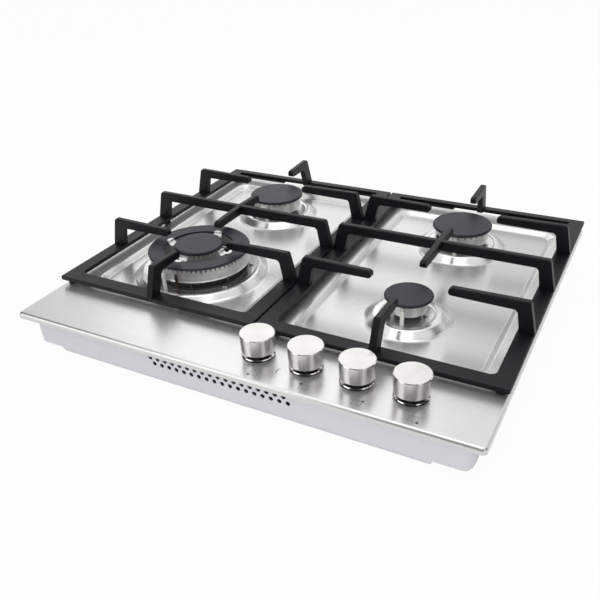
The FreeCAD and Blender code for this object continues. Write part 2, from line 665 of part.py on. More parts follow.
# ---------------------------------------------------------------- burners
def make_cup(burner):
    """Fixed body of a single-ring burner: a cast cup with its flange under the plate."""
    x, y = burner_centre(burner)
    neck = neck_radius(burner)
    seat = PLATE_TOP + burner["base"]
    under = recess_height(burner) - SHEET
    floor = PLATE_TOP - CUP_DEPTH
    inner = neck - CUP_WALL
    foot = floor + CUP_FOOT_RISE
    flange = neck + FLANGE
    profile = [(0, floor), (neck - CUP_FOOT, floor), (neck, foot), (neck, under - FLANGE),
               (flange, under - FLANGE), (flange, under), (neck, under), (neck, seat), (inner, seat),
               (inner, foot + 2), (inner - 2 * CUP_FOOT, floor + CUP_FLOOR), (0, floor + CUP_FLOOR)]
    cup = turned(profile, x, y)
    px, py = pipe_entry(burner)
    cup = cup.multiFuse([pipe_boss(x, y, px, py, neck)] + screw_ears(burner))
    cup = cup.cut(cylinder(JET_RADIUS, x, y, floor + 1, floor + CUP_FLOOR + 1))
    return drill_ears(cup, burner)


def cup_screw_places(burner):
    reach = neck_radius(burner) + CUP_SCREW_OFFSET
    return [around(burner, reach, degrees) for degrees in burner["screws"]]


def screw_ears(burner):
    under = recess_height(burner) - SHEET
    return [cylinder(EAR_RADIUS, x, y, under - FLANGE, under) for x, y in cup_screw_places(burner)]


def drill_ears(cup, burner):
    under = recess_height(burner) - SHEET
    for x, y in cup_screw_places(burner):
        cup = cup.cut(cylinder(SCREW_RADIUS + RUNNING_GAP, x, y, under - FLANGE - OVERCUT, under + OVERCUT))
    return cup


def make_cup_screws():
    """Screws down through the plate's recess into the ears of each burner cup."""
    screws = []
    for burner in BURNERS.values():
        z = recess_height(burner)
        for x, y in cup_screw_places(burner):
            head = cylinder(SCREW_HEAD, x, y, z, z + SCREW_HEAD_HEIGHT)
            screws.append(head.fuse(cylinder(SCREW_RADIUS, x, y, z - SHEET - SCREW_REACH, z)))
    return screws


def pipe_boss(x, y, px, py, neck):
    """Boss in the cup's side that takes the gas pipe."""
    direction = vec(px - x, py - y)
    length = direction.Length
    direction.normalize()
    start = length - BOSS_LENGTH
    place = vec(x, y, RAIL_HEIGHT) + direction * start
    return Part.makeCylinder(PIPE_RADIUS + BOSS_WALL, BOSS_LENGTH, place, direction)


def pipe_entry(burner):
    """End of the gas pipe at a burner's side."""
    x, y = burner_centre(burner)
    reach = burner.get("bowl", neck_radius(burner)) + BOSS_PROUD
    side = burner.get("pipe_side", 1)
    return x + side * reach, y


def slots(x, y, radius, z0, z1, count, width, length):
    """Radial cutters for the flame ports of a ring."""
    cutters = []
    for k in range(count):
        cutter = box(radius - length, radius + length, -width / 2, width / 2, z0, z1)
        cutter.rotate(vec(0, 0, 0), vec(0, 0, 1), 360.0 * k / count)
        cutter.translate(vec(x, y, 0))
        cutters.append(cutter)
    return cutters


def make_crown(burner):
    """Slotted flame ring with its mixing tube."""
    x, y = burner_centre(burner)
    base = PLATE_TOP + burner["base"]
    top = PLATE_TOP + burner["cap_top"] - burner["cap_thick"]
    outer = burner["crown"]
    inner = outer - CROWN_WALL
    stem = base - STEM_DEPTH
    profile = [(STEM_BORE, stem), (STEM_RADIUS, stem), (STEM_RADIUS, base), (outer, base),
               (outer + 0.5, base + CROWN_FLOOR), (outer, top), (inner, top), (inner, base + CROWN_FLOOR),
               (STEM_BORE, base + CROWN_FLOOR)]
    crown = turned(profile, x, y)
    count = int(round(2 * math.pi * outer / PORT_PITCH))
    return crown.cut(slots(x, y, outer - CROWN_WALL / 2, top - PORT_DEPTH, top + 1, count, PORT_WIDTH, 4.0))


def make_cap(burner):
    """Enamelled cap with the rim that centres it in the crown."""
    x, y = burner_centre(burner)
    top = PLATE_TOP + burner["cap_top"]
    seat = top - burner["cap_thick"]
    radius = burner["cap"]
    rim = burner["crown"] - CROWN_WALL - HOLE_GAP
    profile = [(0, seat), (rim - CAP_RIM_WALL, seat), (rim - CAP_RIM_WALL, seat - CAP_RIM_HEIGHT),
               (rim, seat - CAP_RIM_HEIGHT), (rim, seat), (radius - CAP_UNDEREDGE, seat),
               (radius, seat + CAP_UNDEREDGE), (radius, top - CAP_EDGE), (radius - CAP_EDGE, top), (0, top)]
    return turned(profile, x, y)


def make_wok_cup(burner):
    """Fixed body of the double-ring burner: rim ring on posts over a broad cast bowl."""
    x, y = burner_centre(burner)
    neck = neck_radius(burner)
    seat = PLATE_TOP + burner["base"]
    under = recess_height(burner) - SHEET
    floor = PLATE_TOP - CUP_DEPTH
    wall = WOK_NECK_WALL
    bowl = burner["bowl"]
    flange = neck + FLANGE
    saucer = under - WOK_SAUCER
    lip = under + SHEET + burner["lip"]
    profile = [(0, floor), (bowl - CUP_FOOT, floor), (bowl, floor + 2 * CUP_FOOT), (bowl, saucer - 7),
               (neck - 4, saucer - 4), (neck, saucer), (neck, under - FLANGE), (flange, under - FLANGE),
               (flange, under), (neck, under), (neck, lip), (neck - wall, lip), (neck - wall, saucer),
               (bowl - CUP_FOOT, saucer - 3), (bowl - CUP_FOOT, floor + CUP_FLOOR), (0, floor + CUP_FLOOR)]
    cup = turned(profile, x, y)
    rim = ring(neck, neck - wall, x, y, seat - WOK_RIM_HEIGHT, seat)
    posts = []
    for k in range(WOK_POSTS):
        px, py = around(burner, neck - wall / 2, 360.0 * (k + 0.5) / WOK_POSTS)
        half = WOK_POST_WIDTH / 2
        posts.append(box(px - half, px + half, py - half, py + half, under, seat - 1))
    px, py = pipe_entry(burner)
    boss = pipe_boss(x, y, px, py, neck)
    cup = cup.multiFuse([rim, boss] + posts + screw_ears(burner))
    cup = cup.cut(cylinder(JET_RADIUS, x, y, floor + 1, floor + CUP_FLOOR + 1))
    return drill_ears(cup, burner)


def make_wok_crown(burner):
    """Outer ring and centre crown in one casting, joined by four lobed bridges."""
    x, y = burner_centre(burner)
    base = PLATE_TOP + burner["base"]
    top = PLATE_TOP + burner["cap_top"] - burner["cap_thick"]
    outer, inner = burner["crown"], WOK_RING_INNER
    wall = CROWN_WALL
    floor = base + CROWN_FLOOR
    bead = outer + WOK_BEAD
    profile = [(inner, base), (bead - WOK_BEAD / 2, base), (bead, base + WOK_BEAD / 2),
               (bead, base + WOK_BEAD), (outer, base + 2 * WOK_BEAD), (outer, top), (outer - wall, top),
               (outer - wall, floor), (inner + wall, floor), (inner + wall, top), (inner, top)]
    crown = turned(profile, x, y)
    count = int(round(2 * math.pi * outer / WOK_PORT_PITCH))
    reach = wall + PORT_WIDTH / 2
    crown = crown.cut(slots(x, y, outer, top - WOK_PORT_DEPTH, top + OVERCUT, count, PORT_WIDTH, reach))
    centre_top = PLATE_TOP + WOK_CENTRE_TOP - WOK_CENTRE_THICK
    radius = WOK_CENTRE_CROWN
    stem = base - STEM_DEPTH
    centre = turned([(STEM_BORE, stem), (STEM_RADIUS, stem), (STEM_RADIUS, base), (radius, base),
                     (radius, centre_top), (radius - wall, centre_top), (radius - wall, floor),
                     (STEM_BORE, floor)], x, y)
    centre = centre.cut(slots(x, y, radius, centre_top - WOK_PORT_DEPTH, centre_top + OVERCUT,
                              WOK_CENTRE_PORTS, PORT_WIDTH, reach))
    lobe_top = PLATE_TOP + burner["cap_top"] + WOK_LOBE_RISE
    bridges = [lobe(burner, k, radius - wall / 2, HOLE_GAP, base, lobe_top).cut(saddle(burner, k, lobe_top))
               for k in range(4)]
    return crown.multiFuse([centre] + bridges)


def lobe(burner, k, start, gap, z0, z1):
    """Round-ended block on one of the wok burner's four arms."""
    x, y = burner_centre(burner)
    half = WOK_LOBE_WIDTH / 2 - gap
    end = WOK_LOBE_REACH - WOK_LOBE_WIDTH / 2
    block = box(start, end, -half, half, z0, z1).fuse(cylinder(half, end, 0, z0, z1))
    block.rotate(vec(0, 0, 0), vec(0, 0, 1), 90 * k)
    block.translate(vec(x, y, 0))
    return block


def saddle(burner, k, z):
    """Cutter for the hollow across a lobe's top."""
    x, y = burner_centre(burner)
    half = WOK_LOBE_WIDTH / 2 + OVERCUT
    cutter = Part.makeCylinder(WOK_SADDLE, 2 * half, vec(WOK_SADDLE_AT, -half, z), vec(0, 1, 0))
    cutter.rotate(vec(0, 0, 0), vec(0, 0, 1), 90 * k)
    cutter.translate(vec(x, y, 0))
    return cutter


def make_wok_ring_cap(burner):
    x, y = burner_centre(burner)
    top = PLATE_TOP + burner["cap_top"]
    seat = top - burner["cap_thick"]
    outer, inner = burner["cap"], WOK_RING_INNER - WOK_RING_LAP
    cap = turned([(inner, seat), (outer - CAP_UNDEREDGE, seat), (outer, seat + CAP_UNDEREDGE),
                  (outer, top - CAP_EDGE), (outer - CAP_EDGE, top), (inner, top)], x, y)
    for k in range(4):
        cap = cap.cut(lobe(burner, k, 0, 0, seat - 1, top + 1))
    rim_out = burner["crown"] - CROWN_WALL - HOLE_GAP
    rim = ring(rim_out, rim_out - CAP_RIM_WALL, x, y, seat - CAP_RIM_HEIGHT, seat + 1)
    return cap.fuse(rim)


def make_wok_centre_cap(burner):
    x, y = burner_centre(burner)
    top = PLATE_TOP + WOK_CENTRE_TOP
    seat = top - WOK_CENTRE_THICK
    radius = WOK_CENTRE_CAP
    rim = WOK_CENTRE_CROWN - CROWN_WALL - HOLE_GAP
    return turned([(0, seat), (rim - CAP_RIM_WALL, seat), (rim - CAP_RIM_WALL, seat - CAP_RIM_HEIGHT),
                   (rim, seat - CAP_RIM_HEIGHT), (rim, seat), (radius, seat), (radius, top - CAP_EDGE),
                   (radius - CAP_EDGE, top), (0, top)], x, y)


def make_gas_jets():
    jets = []
    for burner in BURNERS.values():
        x, y = burner_centre(burner)
        floor = PLATE_TOP - CUP_DEPTH
        jets.append(hexagon(JET_FLATS, x, y, floor + 1, floor + 1 + JET_HEIGHT))
    return jets


def shouldered(radius, under):
    """Lower part of an electrode's or a probe's profile, with the shoulder that meets the plate."""
    foot = under - PROBE_DEPTH
    step = under - SHOULDER_HEIGHT
    return [(0, foot), (radius, foot), (radius, step), (SHOULDER_RADIUS, step), (SHOULDER_RADIUS, under),
            (radius, under)]


def make_spark_electrodes():
    """Ceramic bodies with a shoulder under the plate and a steel pin to the flame ring."""
    electrodes = []
    for burner in BURNERS.values():
        x, y = around(burner, burner["crown"] + ELECTRODE_OFFSET, burner["electrode"])
        under = recess_height(burner) - SHEET
        tip = PLATE_TOP + burner["cap_top"] - burner["cap_thick"] - ELECTRODE_TIP_DROP
        r, pin = ELECTRODE_RADIUS, ELECTRODE_PIN
        neck = tip - ELECTRODE_PIN_HEIGHT
        upper = [(r, neck - ELECTRODE_TAPER), (pin, neck), (pin, tip), (0, tip)]
        electrodes.append(turned(shouldered(r, under) + upper, x, y))
    return electrodes


def make_thermocouples():
    """Flame sensors with a shoulder under the plate and a domed tip."""
    probes = []
    for burner in BURNERS.values():
        x, y = around(burner, burner["crown"] + ELECTRODE_OFFSET, burner["thermocouple"])
        under = recess_height(burner) - SHEET
        tip = PLATE_TOP + burner["cap_top"] - burner["cap_thick"] - PROBE_TIP_DROP
        r = PROBE_RADIUS
        upper = [(r, tip - PROBE_DOME), (r - PROBE_DOME, tip), (0, tip)]
        probes.append(turned(shouldered(r, under) + upper, x, y))
    return probes


# ---------------------------------------------------------------- gas train
def make_gas_rail():
    start = vec(KNOB_XS[0] - RAIL_START, RAIL_Y, RAIL_HEIGHT)
    corner = vec(INLET_X, RAIL_Y, RAIL_HEIGHT)
    end = vec(INLET_X, PAN_BACK - PAN_WALL - INLET_NUT, RAIL_HEIGHT)
    return pipe([start, corner, end], RAIL_RADIUS, RAIL_BEND)


def make_gas_inlet():
    """Inlet union: nut inside the pan, threaded end outside its back wall."""
    wall = PAN_BACK - PAN_WALL
    corners = regular(INLET_NUT_RADIUS, 6, INLET_X, RAIL_HEIGHT)
    nut = face_of([vec(a, wall - INLET_NUT, b) for a, b in corners]).extrude(vec(0, INLET_NUT, 0))
    shoulder, end = PAN_BACK + INLET_NECK_OUT, PAN_BACK + INLET_LENGTH
    neck = cylinder_y(INLET_NECK, INLET_X, RAIL_HEIGHT, wall - OVERCUT, shoulder)
    thread = cylinder_y(INLET_RADIUS, INLET_X, RAIL_HEIGHT, shoulder, end)
    bore = cylinder_y(INLET_BORE, INLET_X, RAIL_HEIGHT, wall - INLET_NUT / 2, end + OVERCUT)
    return nut.multiFuse([neck, thread]).cut(bore)


def make_valve_body(x):
    half = VALVE_WIDTH / 2
    front = RAIL_Y + RAIL_RADIUS
    body = rounded_block(x - half, x + half, front + 1, KNOB_Y + VALVE_BACK, VALVE_BOTTOM, VALVE_TOP,
                         VALVE_CORNER)
    neck = cylinder(VALVE_NECK, x, KNOB_Y, VALVE_TOP - 1, VALVE_TOP + VALVE_NECK_HEIGHT)
    magnet = cylinder(MAGNET_RADIUS, x, KNOB_Y + MAGNET_SHIFT, MAGNET_BOTTOM, VALVE_BOTTOM + 1)
    inlet = cylinder_y(RAIL_JOINT_RADIUS, x, RAIL_HEIGHT, RAIL_Y, front + 2)
    outlet = cylinder_y(PIPE_RADIUS + BOSS_WALL, x, RAIL_HEIGHT, KNOB_Y + VALVE_BACK - 1,
                        KNOB_Y + VALVE_BACK + OUTLET_LENGTH)
    body = body.multiFuse([neck, magnet, inlet, outlet])
    saddle = Part.makeCylinder(RAIL_RADIUS, VALVE_WIDTH, vec(x - half, RAIL_Y, RAIL_HEIGHT), vec(1, 0, 0))
    body = body.cut(saddle)
    plug_top = VALVE_TOP - PLUG_COVER
    plug = cylinder(PLUG_RADIUS + RUNNING_GAP, x, KNOB_Y, plug_top - PLUG_HEIGHT, plug_top)
    bore = cylinder(SPINDLE_RADIUS + RUNNING_GAP, x, KNOB_Y, plug_top - OVERCUT,
                    VALVE_TOP + VALVE_NECK_HEIGHT + OVERCUT)
    return body.cut(plug).cut(bore)


def make_valve_plug(x):
    top = VALVE_TOP - PLUG_COVER
    plug = cylinder(PLUG_RADIUS, x, KNOB_Y, top - PLUG_HEIGHT, top - RUNNING_GAP)
    socket = top - SPINDLE_DEPTH - PUSH_TRAVEL - 2
    return plug.cut(cylinder(SPINDLE_RADIUS + RUNNING_GAP, x, KNOB_Y, socket, VALVE_TOP))


def make_valve_spindle(x):
    bottom = VALVE_TOP - PLUG_COVER - SPINDLE_DEPTH
    top = PLATE_TOP + KNOB_GAP + KNOB_HEIGHT - KNOB_COVER
    spindle = cylinder(SPINDLE_RADIUS, x, KNOB_Y, bottom, top)
    radius = SPINDLE_RADIUS
    flat = box(x + SPINDLE_FLAT, x + 2 * radius, KNOB_Y - radius, KNOB_Y + radius,
               PLATE_TOP + KNOB_GAP - OVERCUT, top + OVERCUT)
    collar = ring(COLLAR_RADIUS, SPINDLE_RADIUS - 0.5, x, KNOB_Y, COLLAR_Z, COLLAR_Z + COLLAR_HEIGHT)
    return spindle.cut(flat).fuse(collar)


def make_knob(x):
    bottom = PLATE_TOP + KNOB_GAP
    top = bottom + KNOB_HEIGHT
    knob = turned([(0, bottom), (KNOB_FOOT_RADIUS, bottom), (KNOB_RADIUS, top - KNOB_CHAMFER),
                   (KNOB_RADIUS - KNOB_CHAMFER, top), (0, top)], x, KNOB_Y)
    radius = SPINDLE_RADIUS + RUNNING_GAP
    bore = cylinder(radius, x, KNOB_Y, bottom - OVERCUT, top - KNOB_COVER + RUNNING_GAP)
    flat = box(x + SPINDLE_FLAT + RUNNING_GAP, x + 2 * radius, KNOB_Y - radius, KNOB_Y + radius,
               bottom - OVERCUT, top)
    return knob.cut(bore.cut(flat))


def make_knob_bezels():
    z = PLATE_TOP
    top = z + BEZEL_HEIGHT
    profile = [(BEZEL_BORE, z), (BEZEL_RADIUS, z), (BEZEL_RADIUS, top - BEZEL_BEVEL),
               (BEZEL_RADIUS - BEZEL_BEVEL, top), (BEZEL_BORE, top)]
    return [turned(profile, x, KNOB_Y) for x in KNOB_XS]


def make_spindle_seals():
    """Rubber bushes that close the plate's spindle holes inside the bezels."""
    bore = SPINDLE_RADIUS + 0.5
    return [ring(BEZEL_BORE - 0.2, bore, x, KNOB_Y, PLATE_TOP, PLATE_TOP + BEZEL_HEIGHT) for x in KNOB_XS]


# ---------------------------------------------------------------- burner pipes
def pipe_route(index):
    """Corner points from a valve's outlet to the side of its burner."""
    names = ["wok", "rear_left", "rear_right", "front_right"]
    burner = BURNERS[names[index]]
    z = RAIL_HEIGHT
    x = KNOB_XS[index]
    start = vec(x, KNOB_Y + VALVE_BACK + OUTLET_LENGTH, z)
    px, py = pipe_entry(burner)
    end = vec(px, py, z)
    if names[index] == "rear_right":
        lane = px - PIPE_BEND - 1
        turn = start.y + PIPE_BEND + BOSS_LENGTH
        return [start, vec(x, turn, z), vec(lane, turn, z), vec(lane, py, z), end]
    return [start, vec(x, py, z), end]


def make_burner_pipe(index):
    return pipe(pipe_route(index), PIPE_RADIUS, PIPE_BEND)


# ---------------------------------------------------------------- electrical parts
def make_cable_gland():
    """Cable inlet in the back wall of the pan."""
    inside = PAN_BACK - PAN_WALL
    outer = cylinder_y(GLAND_BODY + 3, GLAND_X, GLAND_Z, PAN_BACK, PAN_BACK + GLAND_HEAD)
    neck = cylinder_y(GLAND_BODY, GLAND_X, GLAND_Z, inside - 1, PAN_BACK + 1)
    inner = cylinder_y(GLAND_BODY + 2, GLAND_X, GLAND_Z, inside - GLAND_HEAD, inside)
    bore = cylinder_y(GLAND_BORE, GLAND_X, GLAND_Z, inside - 2 * GLAND_HEAD, PAN_BACK + 2 * GLAND_HEAD)
    return outer.fuse(neck).fuse(inner).cut(bore)


def make_ignition_module():
    w, d, h = MODULE_SIZE
    x, y = GLAND_X, PAN_BACK - d
    body = box(x - w / 2, x + w / 2, y - d / 2, y + d / 2, PAN_WALL, PAN_WALL + h)
    return body.makeChamfer(2.0, pick_edges(body, lambda e: at_height(e, PAN_WALL + h)))


def make_ignition_switches():
    """Switch blocks on the valves' sides, each with a guide hole for its plunger."""
    blocks = []
    for x in KNOB_XS:
        x0 = x + VALVE_WIDTH / 2
        block = box(x0, x0 + SWITCH_WIDTH, KNOB_Y - SWITCH_DEPTH / 2, KNOB_Y + SWITCH_DEPTH / 2,
                    SWITCH_BOTTOM, SWITCH_TOP)
        blocks.append(block.cut(cylinder(PLUNGER_RADIUS + RUNNING_GAP, plunger_x(x), KNOB_Y,
                                         PLUNGER_BOTTOM - PUSH_TRAVEL - 1, SWITCH_TOP + 1)))
    return blocks


def plunger_x(x):
    return x + VALVE_WIDTH / 2 + SWITCH_WIDTH / 2


def make_switch_plunger(x):
    return cylinder(PLUNGER_RADIUS, plunger_x(x), KNOB_Y, PLUNGER_BOTTOM, COLLAR_Z - PLUNGER_GAP)


# ---------------------------------------------------------------- export
def solids_of(shapes):
    if isinstance(shapes, list):
        return Part.makeCompound(shapes)
    return shapes


def main():
    os.makedirs("parts", exist_ok=True)
    wok = BURNERS["wok"]
    left_frame, left_fingers = make_pan_support(-1)
    right_frame, right_fingers = make_pan_support(1)
    nodes = {
        "top_plate": make_top_plate(),
        "base_pan": make_base_pan(),
        "pan_screws": make_pan_screws(),
        "rim_seal": make_rim_seal(),
        "pan_support_left": left_frame,
        "pan_support_right": right_frame,
        "support_fingers_left": left_fingers,
        "support_fingers_right": right_fingers,
        "support_pads_left": make_support_pads(-1),
        "support_pads_right": make_support_pads(1),
        "burner_cup_wok": make_wok_cup(wok),
        "crown_wok": make_wok_crown(wok),
        "wok_ring_cap": make_wok_ring_cap(wok),
        "wok_centre_cap": make_wok_centre_cap(wok),
        "cup_screws": make_cup_screws(),
        "gas_jets": make_gas_jets(),
        "spark_electrodes": make_spark_electrodes(),
        "thermocouples": make_thermocouples(),
        "gas_rail": make_gas_rail(),
        "gas_inlet": make_gas_inlet(),
        "knob_bezels": make_knob_bezels(),
        "spindle_seals": make_spindle_seals(),
        "cable_gland": make_cable_gland(),
        "ignition_module": make_ignition_module(),
        "ignition_switches": make_ignition_switches(),
    }
    for name, burner in BURNERS.items():
        if name == "wok":
            continue
        nodes["burner_cup_" + name] = make_cup(burner)
        nodes["crown_" + name] = make_crown(burner)
        nodes["cap_" + name] = make_cap(burner)
    for k, x in enumerate(KNOB_XS):
        nodes["valve_body_%d" % (k + 1)] = make_valve_body(x)
        nodes["valve_plug_%d" % (k + 1)] = make_valve_plug(x)
        nodes["valve_spindle_%d" % (k + 1)] = make_valve_spindle(x)
        nodes["control_knob_%d" % (k + 1)] = make_knob(x)
        nodes["switch_plunger_%d" % (k + 1)] = make_switch_plunger(x)
        nodes["burner_pipe_%d" % (k + 1)] = make_burner_pipe(k)
    for name, shape in nodes.items():
        solids_of(shape).exportStep("parts/%s.step" % name)


main()
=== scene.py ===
"""Looks of a built-in gas cooktop: brushed steel plate, spun knobs, cast-iron supports and enamelled caps."""
import json
import math

import bpy
from mathutils import Matrix, Vector


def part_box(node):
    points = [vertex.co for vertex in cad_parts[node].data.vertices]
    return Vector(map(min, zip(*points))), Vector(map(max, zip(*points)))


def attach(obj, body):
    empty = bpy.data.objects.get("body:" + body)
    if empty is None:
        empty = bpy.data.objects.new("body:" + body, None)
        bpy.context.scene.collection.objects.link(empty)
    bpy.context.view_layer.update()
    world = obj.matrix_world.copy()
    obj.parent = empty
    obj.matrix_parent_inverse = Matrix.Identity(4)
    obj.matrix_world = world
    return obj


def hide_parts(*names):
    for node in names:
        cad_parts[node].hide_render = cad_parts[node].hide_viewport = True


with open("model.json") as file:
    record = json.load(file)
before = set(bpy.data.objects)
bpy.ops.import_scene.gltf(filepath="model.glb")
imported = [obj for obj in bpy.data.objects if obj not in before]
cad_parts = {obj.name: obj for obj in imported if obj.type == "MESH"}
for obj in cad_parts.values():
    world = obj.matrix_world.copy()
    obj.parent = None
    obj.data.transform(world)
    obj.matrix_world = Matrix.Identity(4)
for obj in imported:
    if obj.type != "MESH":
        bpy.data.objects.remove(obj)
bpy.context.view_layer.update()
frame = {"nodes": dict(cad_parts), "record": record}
NODES = frame["nodes"]
scene = bpy.context.scene
MM = 0.001


# ---------------------------------------------------------------- places taken from the model
def centre_of(node):
    low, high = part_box(node)
    return (low + high) / 2


PLATE_TOP = 53.0 * MM                                   # plate's upper face over the underside
PLATE_FRONT = -255.0 * MM
WELL_EDGE = (PLATE_TOP - 4 * MM, PLATE_TOP - 1 * MM)    # between a well's looks and the plate's; the well's darker colour there is painted shade
KNOB_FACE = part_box("control_knob_1")[1][2]
# height where the knob's painted light turns from the lighter side to the darker face
KNOB_PAINTED_LIGHT_EDGE = (KNOB_FACE - 0.4 * MM, KNOB_FACE - 0.2 * MM)
# height where the bezel's painted shade ends and its polished lip starts
BEZEL_LIP = (PLATE_TOP + 1.5 * MM, PLATE_TOP + 1.8 * MM)
KNOBS = [centre_of("control_knob_%d" % k) for k in (1, 2, 3, 4)]
BURNER_RINGS = (            # burner, reach of the smooth pressed ring round it
    (centre_of("wok_ring_cap"), 0.088),
    (centre_of("cap_rear_left"), 0.060),
    (centre_of("cap_front_right"), 0.051),
    (centre_of("cap_rear_right"), 0.060),
)
RING_FADE = (-0.004, 0.010)


# ---------------------------------------------------------------- node helpers
class Tree:
    """Small wrapper that adds and links shader nodes."""

    def __init__(self, name):
        self.material = bpy.data.materials.new(name)
        self.material.use_nodes = True
        self.tree = self.material.node_tree
        self.tree.nodes.clear()
        self.out = self.add("ShaderNodeOutputMaterial")

    def add(self, kind, **settings):
        node = self.tree.nodes.new(kind)
        for key, value in settings.items():
            setattr(node, key, value)
        return node

    def link(self, source, target):
        self.tree.links.new(source, target)

    def principled(self, color, metallic, roughness, **more):
        shader = self.add("ShaderNodeBsdfPrincipled")
        shader.inputs["Base Color"].default_value = (*color, 1.0)
        shader.inputs["Metallic"].default_value = metallic
        shader.inputs["Roughness"].default_value = roughness
        for key, value in more.items():
            shader.inputs[key.replace("_", " ")].default_value = value
        self.link(shader.outputs[0], self.out.inputs["Surface"])
        return shader

    def position(self):
        return self.add("ShaderNodeTexCoord").outputs["Object"]

    def height(self):
        split = self.add("ShaderNodeSeparateXYZ")
        self.link(self.position(), split.inputs[0])
        return split.outputs["Z"]

    def noise(self, scale, detail=3.0, roughness=0.5):
        """Noise of one scale, or of three scales along x, y and z."""
        stretch = scale if isinstance(scale, tuple) else (1.0, 1.0, 1.0)
        mapping = self.add("ShaderNodeMapping")
        mapping.inputs["Scale"].default_value = stretch
        self.link(self.position(), mapping.inputs["Vector"])
        node = self.add("ShaderNodeTexNoise")
        node.inputs["Scale"].default_value = 1.0 if isinstance(scale, tuple) else scale
        node.inputs["Detail"].default_value = detail
        node.inputs["Roughness"].default_value = roughness
        self.link(mapping.outputs["Vector"], node.inputs["Vector"])
        return node.outputs["Fac"]

    def spread(self, value, low, high, start=0.0, end=1.0):
        """Value from start to end mapped to low to high."""
        node = self.add("ShaderNodeMapRange")
        node.inputs["From Min"].default_value = start
        node.inputs["From Max"].default_value = end
        node.inputs["To Min"].default_value = low
        node.inputs["To Max"].default_value = high
        self.link(value, node.inputs["Value"])
        return node.outputs["Result"]

    def math(self, operation, a, b):
        node = self.add("ShaderNodeMath", operation=operation)
        for socket, value in zip(node.inputs, (a, b)):
            if isinstance(value, (int, float)):
                socket.default_value = value
            else:
                self.link(value, socket)
        return node.outputs[0]

    def blend(self, factor, a, b):
        """Colour between two constant ones."""
        node = self.add("ShaderNodeMix", data_type="RGBA")
        for name, value in (("Factor", factor), ("A", a), ("B", b)):
            socket = next(s for s in node.inputs if s.name == name and s.enabled)
            if isinstance(value, tuple):
                socket.default_value = (*value, 1.0)
            else:
                self.link(value, socket)
        return next(s for s in node.outputs if s.enabled)

    def bump(self, shader, height, strength, distance):
        node = self.add("ShaderNodeBump")
        node.inputs["Strength"].default_value = strength
        node.inputs["Distance"].default_value = distance
        self.link(height, node.inputs["Height"])
        self.link(node.outputs["Normal"], shader.inputs["Normal"])

    def tangent_along(self, shader, direction):
        node = self.add("ShaderNodeCombineXYZ")
        for socket, value in zip(node.inputs, direction):
            socket.default_value = value
        self.link(node.outputs[0], shader.inputs["Tangent"])

    def tangent_round(self, shader):
        node = self.add("ShaderNodeTangent", direction_type="RADIAL", axis="Z")
        self.link(node.outputs[0], shader.inputs["Tangent"])


# ---------------------------------------------------------------- materials
def burner_ring_mask(t):
    """One on the pressed rings round the burners, nought elsewhere."""
    position = t.position()
    mask = None
    for centre, reach in BURNER_RINGS:
        offset = t.add("ShaderNodeVectorMath", operation="SUBTRACT")
        offset.inputs[1].default_value = (centre[0], centre[1], PLATE_TOP)
        t.link(position, offset.inputs[0])
        length = t.add("ShaderNodeVectorMath", operation="LENGTH")
        t.link(offset.outputs["Vector"], length.inputs[0])
        inside = t.spread(length.outputs["Value"], 1.0, 0.0, reach + RING_FADE[0], reach + RING_FADE[1])
        mask = inside if mask is None else t.math("MAXIMUM", mask, inside)
    return mask


def plate_steel():
    """Steel brushed from side to side; the pressed rings round the burners are smoother and more metallic.
    The rings are coloured lighter as a painted highlight, and the plate's top lighter and the wells darker as
    painted light and shade.
    """
    t = Tree("plate_steel")
    shader = t.principled((0.66, 0.657, 0.65), 0.6, 0.28, Anisotropic=0.65)
    fine = t.noise((30.0, 1600.0, 1600.0), 3.0, 0.6)
    streaks = t.noise((7.0, 260.0, 260.0))
    broad = t.noise((6.0, 30.0, 30.0), 2.0)
    smooth = burner_ring_mask(t)
    height = t.height()

    rough = t.math("ADD", t.spread(fine, 0.25, 0.33), t.spread(broad, -0.02, 0.02))
    rough = t.math("MULTIPLY", rough, t.spread(smooth, 1.0, 0.88))
    rough = t.math("MULTIPLY", rough, t.spread(height, 0.84, 1.0, *WELL_EDGE))
    t.link(rough, shader.inputs["Roughness"])

    metal = t.spread(height, 0.72, 0.80, *WELL_EDGE)
    metal = t.math("MAXIMUM", metal, t.spread(smooth, 0.0, 0.93))
    t.link(metal, shader.inputs["Metallic"])

    tone = t.math("ADD", t.spread(fine, 0.35, 0.6), t.spread(streaks, -0.1, 0.15))
    # painted light and shade: the plate's top is coloured lighter and the wells darker
    tone = t.math("ADD", tone, t.spread(height, -0.2, 0.25, *WELL_EDGE))
    # painted highlight: the pressed rings round the burners are coloured lighter
    tone = t.math("ADD", tone, t.math("MULTIPLY", smooth, 0.24))
    t.link(t.blend(tone, (0.60, 0.598, 0.592), (0.75, 0.748, 0.742)), shader.inputs["Base Color"])
    t.bump(shader, fine, 0.012, 0.0002)
    t.tangent_along(shader, (0.0, 1.0, 0.0))
    return t.material


def knob_metal():
    """Turned metal: circular grooves draw the reflections out. The side is coloured lighter than the face:
    painted light, which brightens the side where it mirrors dark surroundings and keeps the face from white.
    """
    t = Tree("knob_metal")
    shader = t.principled((0.72, 0.71, 0.69), 1.0, 0.22, Anisotropic=0.95, Anisotropic_Rotation=0.25)
    fine = t.noise((300.0, 300.0, 300.0), 4.0)
    t.link(t.spread(fine, 0.17, 0.24), shader.inputs["Roughness"])
    # painted light: above this height the face takes the darker colour, below it the side takes the lighter
    # one
    face = t.spread(t.height(), 0.0, 1.0, *KNOB_PAINTED_LIGHT_EDGE)
    t.link(t.blend(face, (0.76, 0.745, 0.725), (0.62, 0.61, 0.595)), shader.inputs["Base Color"])
    t.tangent_round(shader)
    return t.material


